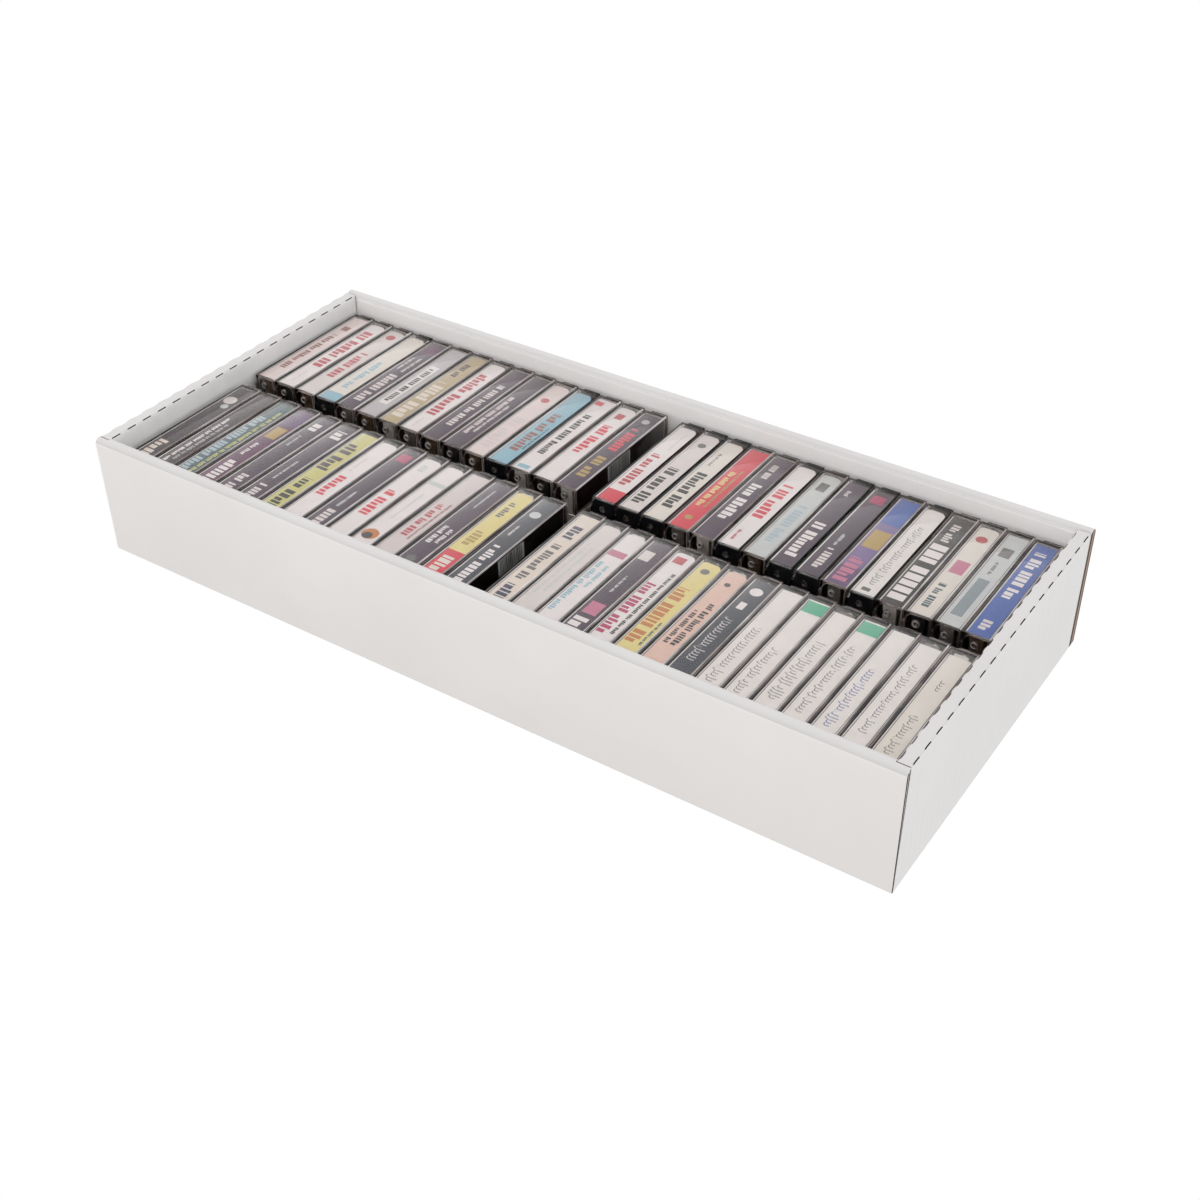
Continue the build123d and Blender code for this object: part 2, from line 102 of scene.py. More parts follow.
def carve(piece, tool, material_mode="INDEX"):
    """Cuts a tool's form out of a piece, and does away with the tool."""
    cut = piece.modifiers.new("carved", "BOOLEAN")
    cut.object = tool
    cut.operation = "DIFFERENCE"
    cut.solver = "EXACT"
    cut.material_mode = material_mode
    hold(piece)
    bpy.ops.object.modifier_apply(modifier=cut.name)
    bpy.data.objects.remove(tool)


def paint(piece, *finishes):
    """Gives a piece its material slots, the first of which covers it."""
    piece.data.materials.clear()
    for finish in finishes:
        piece.data.materials.append(finish)


def smooth(piece, angle=0.6):
    """Smooth shading up to the given angle between faces."""
    hold(piece)
    bpy.ops.object.shade_smooth_by_angle(angle=angle)


def plain_finish(name, colour, roughness, **sockets):
    """A Principled material with constant sockets. Returns the material, its tree and its shader."""
    finish = bpy.data.materials.new(name)
    finish.use_nodes = True
    shader = finish.node_tree.nodes["Principled BSDF"]
    shader.inputs["Base Color"].default_value = (*colour, 1)
    shader.inputs["Roughness"].default_value = roughness
    for socket, value in sockets.items():
        shader.inputs[socket.replace("_", " ")].default_value = value
    return finish, finish.node_tree, shader


def mottle(tree, shader, scale, pale, dark):
    """Cloudy variation between two colours on Object coordinates."""
    place = tree.nodes.new("ShaderNodeTexCoord")
    noise = tree.nodes.new("ShaderNodeTexNoise")
    noise.inputs["Scale"].default_value = scale
    noise.inputs["Detail"].default_value = 5
    ramp = tree.nodes.new("ShaderNodeValToRGB")
    ramp.color_ramp.elements[0].position = 0.35
    ramp.color_ramp.elements[0].color = (*dark, 1)
    ramp.color_ramp.elements[1].position = 0.65
    ramp.color_ramp.elements[1].color = (*pale, 1)
    tree.links.new(place.outputs["Object"], noise.inputs["Vector"])
    tree.links.new(noise.outputs["Fac"], ramp.inputs["Fac"])
    tree.links.new(ramp.outputs["Color"], shader.inputs["Base Color"])
    return place, noise


def mottled_finish(name, pale, dark, scale, roughness, grain=0.0, **sockets):
    """A finish whose colour and gloss vary a little from place to place, with a fine grain if asked."""
    finish, tree, shader = plain_finish(name, pale, roughness, **sockets)
    place, noise = mottle(tree, shader, scale, pale, dark)
    gloss = tree.nodes.new("ShaderNodeMapRange")
    gloss.inputs["To Min"].default_value = roughness * 0.8
    gloss.inputs["To Max"].default_value = roughness * 1.2
    tree.links.new(noise.outputs["Fac"], gloss.inputs["Value"])
    tree.links.new(gloss.outputs["Result"], shader.inputs["Roughness"])
    if grain:
        pits = tree.nodes.new("ShaderNodeTexNoise")
        pits.inputs["Scale"].default_value = 1800
        bump = tree.nodes.new("ShaderNodeBump")
        bump.inputs["Distance"].default_value = grain
        bump.inputs["Strength"].default_value = 0.5
        tree.links.new(place.outputs["Object"], pits.inputs["Vector"])
        tree.links.new(pits.outputs["Fac"], bump.inputs["Height"])
        tree.links.new(bump.outputs["Normal"], shader.inputs["Normal"])
    return finish


def fluted(tree, shader, place, noise, direction, height):
    """Faint washboard of the board's flutes, every 7 mm, with the paper's own grain over it."""
    flutes = tree.nodes.new("ShaderNodeTexWave")
    flutes.bands_direction = direction
    flutes.inputs["Scale"].default_value = 45
    flutes.inputs["Distortion"].default_value = 0.6
    grain = tree.nodes.new("ShaderNodeTexNoise")
    grain.inputs["Scale"].default_value = 700
    mixed = tree.nodes.new("ShaderNodeMath")
    mixed.operation = "MULTIPLY_ADD"
    mixed.inputs[1].default_value = 0.35
    bump = tree.nodes.new("ShaderNodeBump")
    bump.inputs["Strength"].default_value = 0.35
    bump.inputs["Distance"].default_value = height
    tree.links.new(place.outputs["Object"], flutes.inputs["Vector"])
    tree.links.new(place.outputs["Object"], grain.inputs["Vector"])
    tree.links.new(grain.outputs["Fac"], mixed.inputs[0])
    tree.links.new(flutes.outputs["Fac"], mixed.inputs[2])
    tree.links.new(mixed.outputs[0], bump.inputs["Height"])
    tree.links.new(bump.outputs["Normal"], shader.inputs["Normal"])


def board_finish(name, colour, pale, dark, direction="X", height=0.00012):
    """White liner, a little cloudy, over flutes that run across the given direction."""
    finish, tree, shader = plain_finish(name, colour, 0.6)
    fluted(tree, shader, *mottle(tree, shader, 14, pale, dark), direction, height)
    return finish


long_board = board_finish("white_board_long_walls", (0.78, 0.75, 0.735), (0.775, 0.75, 0.735),
                          (0.755, 0.725, 0.71))
# The back wall's inner face is painted lighter than the same board outside: painted light.
lit_inner_board = board_finish("white_board_inside_painted_lighter", (0.86, 0.83, 0.82), (0.86, 0.835, 0.825), (0.84, 0.81, 0.80))
end_board = board_finish("white_board_end_walls", (0.77, 0.76, 0.755), (0.78, 0.77, 0.765),
                         (0.76, 0.75, 0.745), "Y", 0.00010)
# Faces over the folds that look upward are painted greyer as painted shade, those on the back shoulder a
# little less.
shaded_fold_board = board_finish("white_board_on_the_folds_in_painted_shade", (0.56, 0.54, 0.54), (0.57, 0.55, 0.55),
                            (0.55, 0.53, 0.53))
shaded_shoulder_board = board_finish("white_board_on_the_shoulder_in_painted_shade", (0.65, 0.63, 0.625), (0.66, 0.64, 0.635),
                              (0.64, 0.62, 0.615))

dark_edge = mottled_finish("kraft_in_the_shade", (0.055, 0.035, 0.026), (0.015, 0.010, 0.008), 350, 0.9)
# The wide cut edge at the back shows brown liners, with painted shade in the hollows of the flutes and along
# its inner side.
shaded_cut_edge, tree, shader = plain_finish("kraft_cut_edge_in_painted_shade", (0.36, 0.24, 0.17), 0.85)
place = tree.nodes.new("ShaderNodeTexCoord")
parts = tree.nodes.new("ShaderNodeSeparateXYZ")
across = tree.nodes.new("ShaderNodeMapRange")
across.inputs["From Min"].default_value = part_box("tray_back_wall")[1].y - cut_edge_width[1]
across.inputs["From Max"].default_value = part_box("tray_back_wall")[1].y
bands = tree.nodes.new("ShaderNodeValToRGB")
bands.color_ramp.elements[0].color = (0.05, 0.03, 0.022, 1)
bands.color_ramp.elements[1].color = (0.20, 0.13, 0.095, 1)
for at, shade in (
    (0.40, (0.06, 0.036, 0.027, 1)),
    (0.48, (0.42, 0.29, 0.22, 1)),
    (0.72, (0.36, 0.24, 0.18, 1)),
    (0.80, (0.08, 0.048, 0.035, 1)),
    (0.90, (0.10, 0.062, 0.045, 1)),
):
    bands.color_ramp.elements.new(at).color = shade
tree.links.new(place.outputs["Object"], parts.inputs["Vector"])
tree.links.new(parts.outputs["Y"], across.inputs["Value"])
tree.links.new(across.outputs["Result"], bands.inputs["Fac"])
tree.links.new(bands.outputs["Color"], shader.inputs["Base Color"])

for side, node in ((-1, "tray_front_wall"), (1, "tray_back_wall")):
    low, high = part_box(node)
    wall = block(f"{node}_board", low, high)
    outer = low.y if side < 0 else high.y
    bpy.ops.object.mode_set(mode="EDIT")
    pick("edges", lambda middle, edge: runs_along(edge, 0) and middle.z > high.z - near)
    bpy.ops.mesh.bevel(offset=roll_radius, offset_type="OFFSET", segments=10, affect="EDGES")
    pick("edges", lambda middle, edge: runs_along(edge, 0)
         and middle.z < near and abs(middle.y - outer) < near)
    bpy.ops.mesh.bevel(offset=bottom_fold, offset_type="OFFSET", segments=3, affect="EDGES")
    bpy.ops.object.mode_set(mode="OBJECT")
    if side < 0:
        # Past the end walls' inner faces only the outer layer of the front wall goes on.
        for end, end_node in ((-1, "tray_left_end_wall"), (1, "tray_right_end_wall")):
            end_low, end_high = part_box(end_node)
            inner_x = end_high.x if end < 0 else end_low.x
            beyond = end * 0.3
            room = block("room_for_the_end_wall", (min(inner_x, beyond), low.y + layer, -near),
                         (max(inner_x, beyond), high.y + near, 0.1))
            carve(wall, room)
    # The cut edge of the outer layer is a thin rim along the roll at the front, and a wide strip at the back.
    bpy.ops.object.mode_set(mode="EDIT")
    if side < 0:
        pick("faces", lambda middle, face: abs(face.normal.x) > 0.9)
        bpy.ops.mesh.inset(thickness=cut_edge_width[side], depth=0)
    else:
        bpy.ops.mesh.select_all(action="SELECT")
        bpy.ops.mesh.bisect(plane_co=(0, outer - cut_edge_width[side], 0), plane_no=(0, 1, 0))
    bpy.ops.object.mode_set(mode="OBJECT")
    paint(wall, long_board, dark_edge if side < 0 else shaded_cut_edge, shaded_fold_board, end_board, lit_inner_board,
          shaded_shoulder_board)
    # Faces looking up on the roll and on its shoulder get painted shade.
    for face in wall.data.polygons:
        if abs(face.normal.x) > 0.9:
            on_roll = side < 0 and face.center.z > high.z - 0.7 * cut_edge_width[side]
            at_edge = abs(face.center.y - outer) < cut_edge_width[side] or on_roll
            face.material_index = 1 if at_edge else 3
        elif face.normal.z > roll_top[side]:
            face.material_index = 2
        elif side > 0 and face.normal.y < -0.1:
            face.material_index = 5 if face.normal.z > roll_shoulder else 4
    smooth(wall)
    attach(wall, "tray")
    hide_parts(node)

# ---- End walls ----
# The two short flaps, folded over along two lines of slits so that they stand double, and locked into the
# floor. The board swells between the slits, so both fold lines are scalloped.

slits = 18
slit_length = 0.007
slit_width = 0.00075
slit_depth = 0.0035
swell = 0.0006
swell_reach = 0.004
flat_below = 0.0045
fold_radius = 0.0011
seam = 0.0006

# Near-black kraft, as painted shade in the slits and the seams.
slit_shade = mottled_finish("kraft_in_painted_shade_in_the_slits", (0.04, 0.028, 0.022), (0.02, 0.015, 0.012), 300, 0.9)

for side, node in ((-1, "tray_left_end_wall"), (1, "tray_right_end_wall")):
    low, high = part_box(node)
    pitch = (high.y - low.y) / slits
    wall = block(f"{node}_board", low, high)
    bpy.ops.object.mode_set(mode="EDIT")
    # A seam in painted shade shows inside, where the wall's ends meet the long walls.
    inner = high.x if side < 0 else low.x
    pick("edges", lambda middle, edge: not runs_along(edge, 1)
         and (abs(middle.x - inner) < near or middle.z > high.z - near))
    bpy.ops.mesh.bevel(offset=seam, offset_type="OFFSET", segments=1, affect="EDGES")
    pick("edges", lambda middle, edge: runs_along(edge, 1) and middle.z > high.z - near)
    bpy.ops.mesh.bevel(offset=fold_radius, offset_type="OFFSET", segments=3, affect="EDGES")
    # The swelling ends at this cut, so the faces below it stay flat.
    bpy.ops.mesh.select_all(action="SELECT")
    bpy.ops.mesh.bisect(plane_co=(0, 0, high.z - flat_below), plane_no=(0, 0, 1))
    pick("edges", lambda middle, edge: runs_along(edge, 1))
    bpy.ops.mesh.subdivide(number_cuts=slits * 8 - 1)
    # Between two slits the fold stands fuller, and at a slit it falls away.
    opened = bmesh.from_edit_mesh(wall.data)
    for corner in opened.verts:
        near_fold = max(0.0, 1 - (high.z - corner.co.z) / swell_reach)
        if near_fold > 0:
            phase = (corner.co.y - low.y) / pitch
            fall = swell * near_fold * (0.5 - 0.5 * math.cos(2 * math.pi * phase)) ** 0.7
            toward_middle = math.copysign(1, (low.x + high.x) / 2 - corner.co.x)
            corner.co.x += toward_middle * fall
            if high.z - corner.co.z < 0.5 * fold_radius:
                corner.co.z -= 0.6 * fall
    bmesh.update_edit_mesh(wall.data)
    bpy.ops.object.mode_set(mode="OBJECT")
    # Slot 2 is painted shade on the tops of the folds.
    paint(wall, end_board, slit_shade, shaded_fold_board)
    # End faces and seams that face along Y are painted near black as painted shade.
    for face in wall.data.polygons:
        face.material_index = 1 if abs(face.normal.y) > 0.5 else 2 if face.normal.z > 0.5 else 0
    smooth(wall)

    # One slit's blade, stood at each place on both fold lines, cuts them all.
    blades = []
    for fold_x, lean in ((low.x, -math.pi / 4), (high.x, math.pi / 4)):
        for n in range(slits):
            bpy.ops.object.select_all(action="DESELECT")
            bpy.ops.mesh.primitive_cube_add(
                size=1,
                location=(fold_x, low.y + (n + 0.5) * pitch, high.z),
                rotation=(0, lean, 0),
                scale=(slit_width, slit_length, 2 * slit_depth),
            )
            blades.append(bpy.context.object)
    for blade in blades:
        blade.select_set(True)
    bpy.ops.object.join()
    blades = bpy.context.object
    bpy.ops.object.transform_apply(location=True, rotation=True, scale=True)
    paint(blades, slit_shade)
    carve(wall, blades, material_mode="TRANSFER")
    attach(wall, "tray")
    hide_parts(node)

# ---- Floor of the tray ----
# The middle panel of the sheet of board. Only the slots for the lock tabs break it. The cases hide nearly
# all of it, so the CAD's own panel shows.

paint(cad_nodes["tray_floor"], long_board)

# ---- Case lid ----
# Clear moulded polystyrene: front panel, spine wall, pocket and the two hollow hinge pins in one piece.
# Its moulded corners are slightly rounded and carry painted highlights.

case_low, case_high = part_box("front_right_gap_case_lid")
case_thick = case_high.x - case_low.x
case_long = case_high.y - case_low.y
case_tall = case_high.z - case_low.z
case_origin = Vector(((case_low.x + case_high.x) / 2, (case_low.y + case_high.y) / 2, case_low.z))
moulded_corner = 0.0003
long_corner = 0.00075
at_face = 0.0003
hinge_drop = 0.0062
lip_radius = 0.0018
lip_width = 0.00026


def see_through(name, tint, roughness, ior):
    """Clear plastic that bends what is seen through it and lets lamps through to what it covers."""
    finish = bpy.data.materials.new(name)
    finish.use_nodes = True
    tree = finish.node_tree
    tree.nodes.remove(tree.nodes["Principled BSDF"])
    glass = tree.nodes.new("ShaderNodeBsdfGlass")
    glass.inputs["Color"].default_value = (*tint, 1)
    glass.inputs["Roughness"].default_value = roughness
    glass.inputs["IOR"].default_value = ior
    clear = tree.nodes.new("ShaderNodeBsdfTransparent")
    clear.inputs["Color"].default_value = (*tint, 1)
    path = tree.nodes.new("ShaderNodeLightPath")
    mixed = tree.nodes.new("ShaderNodeMixShader")
    tree.links.new(path.outputs["Is Shadow Ray"], mixed.inputs["Fac"])
    tree.links.new(glass.outputs[0], mixed.inputs[1])
    tree.links.new(clear.outputs[0], mixed.inputs[2])
    tree.links.new(mixed.outputs[0], tree.nodes["Material Output"].inputs["Surface"])
    return finish


clear_styrene = see_through("clear_styrene", (0.980, 0.968, 0.960), 0.0, 1.3)
# The rounded edges carry a painted highlight along some stretches and painted shade along others.
edge_glint = mottled_finish("edge_glint", (0.34, 0.28, 0.26), (0.03, 0.020, 0.018), 45, 0.15)
spine_edge_glint = mottled_finish("painted_glint_on_the_spine_edge", (0.92, 0.90, 0.90), (0.24, 0.19, 0.18), 14, 0.15)
# Painted highlight and painted shade for the lips of the hinge pins.
bright_lip = mottled_finish("bright_lip", (0.52, 0.52, 0.52), (0.34, 0.34, 0.34), 400, 0.2)
shaded_lip = mottled_finish("shaded_lip", (0.12, 0.10, 0.09), (0.05, 0.04, 0.035), 400, 0.2)


def case_part(node, name):
    """A copy of a CAD piece of the case, cleaned to plain faces and moved to the case's own origin."""
    piece = cad_nodes[node].copy()
    piece.data = cad_nodes[node].data.copy()
    for key in list(piece.keys()):
        del piece[key]
    piece.parent = None
    piece.name = piece.data.name = name
    bpy.context.scene.collection.objects.link(piece)
    piece.data.transform(Matrix.Translation(-case_origin))
    hold(piece)
    bpy.ops.object.mode_set(mode="EDIT")
    bpy.ops.mesh.select_all(action="SELECT")
    bpy.ops.mesh.remove_doubles(threshold=0.000002)
    bpy.ops.mesh.dissolve_limited(angle_limit=0.02)
    bpy.ops.object.mode_set(mode="OBJECT")
    return piece


def round_corners(piece, radius, edge_slot):
    """Rounds every sharp moulded edge of a piece, and puts the rounding in the given material slot."""
    hold(piece)
    rounding = piece.modifiers.new("moulded corners", "BEVEL")
    rounding.width = radius
    rounding.segments = 2
    rounding.material = edge_slot
    rounding.limit_method = "ANGLE"
    rounding.angle_limit = 0.7
    rounding.use_clamp_overlap = True
    bpy.ops.object.modifier_apply(modifier="moulded corners")
    smooth(piece, 0.5)


lid_finishes = (clear_styrene, edge_glint, bright_lip, shaded_lip, spine_edge_glint)
lid_pattern = case_part("front_right_gap_case_lid", "lid_pattern")
paint(lid_pattern, *lid_finishes)
# The two long edges over the spine are rounder. The right one carries a painted highlight here and there.
bpy.ops.object.mode_set(mode="EDIT")
pick("edges", lambda middle, edge: runs_along(edge, 1) and middle.z > case_tall - at_face
     and abs(middle.x) > case_thick / 2 - at_face)
bpy.ops.mesh.bevel(offset=long_corner, offset_type="OFFSET", segments=2, affect="EDGES", material=1)
bpy.ops.object.mode_set(mode="OBJECT")
for face in lid_pattern.data.polygons:
    if face.material_index == 1 and face.center.x > 0:
        face.material_index = 4
round_corners(lid_pattern, moulded_corner, 1)

# A lip round the bore of each hinge pin. A painted highlight lies on three quarters of it, and painted shade
# on the rest.
lips = []
for side in (-1, 1):
    bpy.ops.mesh.primitive_torus_add(
        location=(0, side * (case_long / 2 - lip_width / 2), case_tall - hinge_drop),
        rotation=(math.pi / 2, 0, 0),
        major_radius=lip_radius,
        minor_radius=lip_width,
        major_segments=24,
        minor_segments=6,
    )
    lip = bpy.context.object
    bpy.ops.object.transform_apply(location=True, rotation=True, scale=True)
    paint(lip, *lid_finishes)
    for face in lip.data.polygons:
        turn = math.atan2(face.center.z - (case_tall - hinge_drop), face.center.x)
        face.material_index = 3 if -0.9 < turn < 0.7 else 2
    lips.append(lip)
bpy.ops.object.select_all(action="DESELECT")
for piece in (*lips, lid_pattern):
    piece.select_set(True)
bpy.context.view_layer.objects.active = lid_pattern
bpy.ops.object.join()

# ---- Case base ----
# The tray-shaped half, moulded in one piece: back panel, free-edge wall, end walls with ears that turn on
# the pins, and two hub pegs. Most are clear polystyrene, and nine are black.

black_styrene = mottled_finish("black_styrene", (0.008, 0.008, 0.009), (0.004, 0.004, 0.005), 60, 0.12)

base_pattern = case_part("front_right_gap_case_base", "base_pattern")
paint(base_pattern, clear_styrene, edge_glint)
round_corners(base_pattern, moulded_corner, 1)

# ---- Insert card ----
# Coated card folded round the cassette, with its spine under the lid's spine wall and a short flap behind.
# The spine is printed in plain colours. Its strokes only keep the rhythm of a title, and spell nothing.

card_low, card_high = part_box("front_right_gap_case_j_card")
card_low, card_high = card_low - case_origin, card_high - case_origin
card_thick = 0.00025
print_lift = 0.00003
flap_drop = 0.016
card_corner = 0.0042

printed_card, tree, shader = plain_finish("printed_card", (0.8, 0.8, 0.8), 0.38, Specular_IOR_Level=0.3)
ink = tree.nodes.new("ShaderNodeAttribute")
ink.attribute_name = "ink"
place = tree.nodes.new("ShaderNodeTexCoord")
fade = tree.nodes.new("ShaderNodeTexNoise")
fade.inputs["Scale"].default_value = 160
fade.inputs["Detail"].default_value = 4
level = tree.nodes.new("ShaderNodeMapRange")
level.inputs["To Min"].default_value = 0.90
level.inputs["To Max"].default_value = 1.04
worn = tree.nodes.new("ShaderNodeVectorMath")
worn.operation = "SCALE"
tree.links.new(place.outputs["Object"], fade.inputs["Vector"])
tree.links.new(fade.outputs["Fac"], level.inputs["Value"])
tree.links.new(ink.outputs["Color"], worn.inputs[0])
tree.links.new(level.outputs["Result"], worn.inputs["Scale"])
tree.links.new(worn.outputs["Vector"], shader.inputs["Base Color"])

inks = {
    "white": (0.83, 0.80, 0.81),
    "off white": (0.74, 0.70, 0.70),
    "home white": (0.82, 0.80, 0.79),
    "cream": (0.78, 0.75, 0.70),
    "rose cream": (0.79, 0.70, 0.70),
    "pink": (0.582, 0.222, 0.333),
    "pale pink": (0.71, 0.65, 0.66),
    "peach": (0.79, 0.57, 0.49),
    "beige": (0.78, 0.71, 0.64),
    "tan": (0.52, 0.43, 0.27),
    "gold": (0.496, 0.359, 0.136),
    "yellow": (0.79, 0.70, 0.31),
    "acid yellow": (0.63, 0.61, 0.25),
    "orange": (0.582, 0.238, 0.093),
    "red": (0.70, 0.08, 0.11),
    "soft red": (0.53, 0.10, 0.12),
    "red brown": (0.333, 0.153, 0.136),
    "magenta": (0.479, 0.076, 0.170),
    "purple": (0.153, 0.101, 0.205),
    "plum": (0.15, 0.07, 0.13),
    "violet": (0.228, 0.177, 0.365),
    "blue": (0.08, 0.15, 0.45),
    "pen blue": (0.076, 0.118, 0.376),
    "navy": (0.067, 0.076, 0.136),
    "light blue": (0.31, 0.53, 0.64),
    "pale blue": (0.428, 0.548, 0.616),
    "grey blue": (0.273, 0.333, 0.368),
    "teal": (0.080, 0.140, 0.160),
    "green": (0.076, 0.445, 0.273),
    "light grey": (0.61, 0.65, 0.66),
    "lilac grey": (0.53, 0.52, 0.55),
    "grey": (0.169, 0.169, 0.169),
    "pencil": (0.178, 0.178, 0.204),
    "dark grey": (0.09, 0.07, 0.10),
    "dark brown": (0.070, 0.060, 0.070),
    "slate": (0.06, 0.07, 0.09),
    "black": (0.050, 0.048, 0.049),
}

# Marks go from the near end (0) to the far end (1) of a spine, and from its left edge (0) to its right (1).
rear_left_spines = [
    ("rose cream", "square", [("title", 0.16, 0.72, 0.30, 0.62, "red brown"),
                              ("band", 0.80, 0.86, 0.3, 0.7, "red brown")]),
    ("white", "round", [("title", 0.30, 0.90, 0.25, 0.78, "soft red"),
                        ("row", 0.06, 0.22, 0.45, 0.55, "pale pink")]),
    ("off white", "round", [("title", 0.24, 0.62, 0.28, 0.70, "soft red"),
                            ("disc", 0.90, 0.5, 0.25, "soft red")]),
    ("cream", "round", [("band", 0.00, 0.10, 0, 1, "light blue"),
                        ("title", 0.18, 0.60, 0.35, 0.66, "light blue")]),
    ("dark grey", "square", [("title", 0.10, 0.50, 0.3, 0.75, "pale pink"),
                             ("row", 0.58, 0.76, 0.2, 0.34, "off white"),
                             ("row", 0.56, 0.78, 0.55, 0.7, "off white"),
                             ("band", 0.84, 0.97, 0.1, 0.9, "plum")]),
    ("lilac grey", "square", [("band", 0.16, 0.74, 0.25, 0.75, "white"),
                              ("title", 0.20, 0.70, 0.34, 0.64, "black")]),
    ("tan", "square", [("title", 0.08, 0.60, 0.2, 0.8, "beige"),
                       ("row", 0.7, 0.9, 0.3, 0.6, "dark brown")]),
    ("white", "round", [("title", 0.22, 0.84, 0.22, 0.74, "soft red"),
                        ("row", 0.04, 0.16, 0.4, 0.52, "pale pink")]),
    ("dark grey", "square", [("title", 0.18, 0.78, 0.36, 0.70, "off white")]),
    ("dark grey", "square", [("row", 0.16, 0.70, 0.22, 0.44, "rose cream"),
                             ("row", 0.20, 0.60, 0.56, 0.72, "off white")]),
    ("rose cream", "round", [("title", 0.10, 0.55, 0.2, 0.8, "pale pink"),
                             ("disc", 0.78, 0.5, 0.22, "soft red")]),
    ("light blue", "round", [("title", 0.16, 0.68, 0.3, 0.74, "red brown"),
                             ("row", 0.2, 0.5, 0.82, 0.92, "navy")]),
    ("white", "square", [("title", 0.22, 0.78, 0.30, 0.64, "black"), ("band", 0.92, 0.97, 0.1, 0.5, "red"),
                         ("band", 0.02, 0.06, 0.2, 0.8, "light blue")]),
    ("white", "round", [("title", 0.36, 0.74, 0.28, 0.74, "red"),
                        ("band", 0.84, 0.91, 0.3, 0.7, "soft red")]),
    ("dark grey", "square", [("title", 0.14, 0.42, 0.28, 0.74, "gold"),
                             ("title", 0.50, 0.80, 0.28, 0.74, "red"),
                             ("disc", 0.91, 0.5, 0.2, "lilac grey")]),
]
rear_right_spines = [
    ("white", "round", [("band", 0.00, 0.13, 0, 1, "red"), ("title", 0.20, 0.62, 0.22, 0.66, "soft red"),
                        ("row", 0.7, 0.92, 0.6, 0.7, "pale pink")]),
    ("off white", "round", [("title", 0.08, 0.54, 0.2, 0.72, "black"), ("disc", 0.86, 0.5, 0.2, "grey")]),
    ("cream", "round", [("title", 0.14, 0.60, 0.25, 0.75, "black"),
                        ("row", 0.68, 0.84, 0.3, 0.42, "grey")]),
    ("red", "square", [("title", 0.26, 0.70, 0.22, 0.48, "yellow"), ("row", 0.26, 0.74, 0.6, 0.74, "gold"),
                       ("disc", 0.12, 0.5, 0.18, "gold")]),
    ("dark grey", "square", [("title", 0.22, 0.66, 0.24, 0.74, "white"),
                             ("row", 0.74, 0.92, 0.3, 0.6, "off white")]),
    ("white", "round", [("title", 0.34, 0.76, 0.2, 0.7, "red"),
                        ("row", 0.06, 0.18, 0.3, 0.44, "soft red")]),
    ("light grey", "round", [("title", 0.16, 0.60, 0.3, 0.72, "pale blue"),
                             ("band", 0.80, 0.90, 0.28, 0.72, "grey")]),
    ("dark grey", "square", [("title", 0.10, 0.50, 0.24, 0.76, "white"),
                             ("row", 0.84, 0.92, 0.3, 0.5, "off white")]),
    ("dark grey", "square", [("title", 0.08, 0.30, 0.34, 0.70, "off white"),
                             ("row", 0.34, 0.48, 0.4, 0.56, "light grey"),
                             ("band", 0.86, 0.95, 0.2, 0.8, "magenta")]),
    ("violet", "square", [("band", 0.0, 0.20, 0, 1, "purple"), ("title", 0.04, 0.30, 0.2, 0.8, "pink"),
                          ("band", 0.42, 0.62, 0.15, 0.95, "gold"), ("band", 0.70, 1.0, 0, 1, "blue")]),
    ("home white", "round", [("pen", 0.10, 0.78, 0.30, 0.70, "pencil"),
                             ("row", 0.03, 0.07, 0.3, 0.8, "grey")]),
    ("black", "square", [("bold", 0.05, 0.68, 0.14, 0.86, "white"),
                         ("row", 0.72, 0.94, 0.3, 0.66, "off white")]),
    ("cream", "round", [("title", 0.08, 0.34, 0.3, 0.62, "teal"), ("band", 0.46, 0.60, 0.25, 0.85, "pink"),
                        ("disc", 0.86, 0.5, 0.26, "soft red")]),
    ("light grey", "square", [("band", 0.10, 0.50, 0.25, 0.75, "grey blue"),
                              ("band", 0.76, 0.86, 0.25, 0.75, "grey"),
                              ("row", 0.56, 0.70, 0.4, 0.55, "grey")]),
    ("blue", "square", [("title", 0.40, 0.92, 0.26, 0.74, "white"),
                        ("title", 0.06, 0.16, 0.3, 0.7, "off white")]),
]
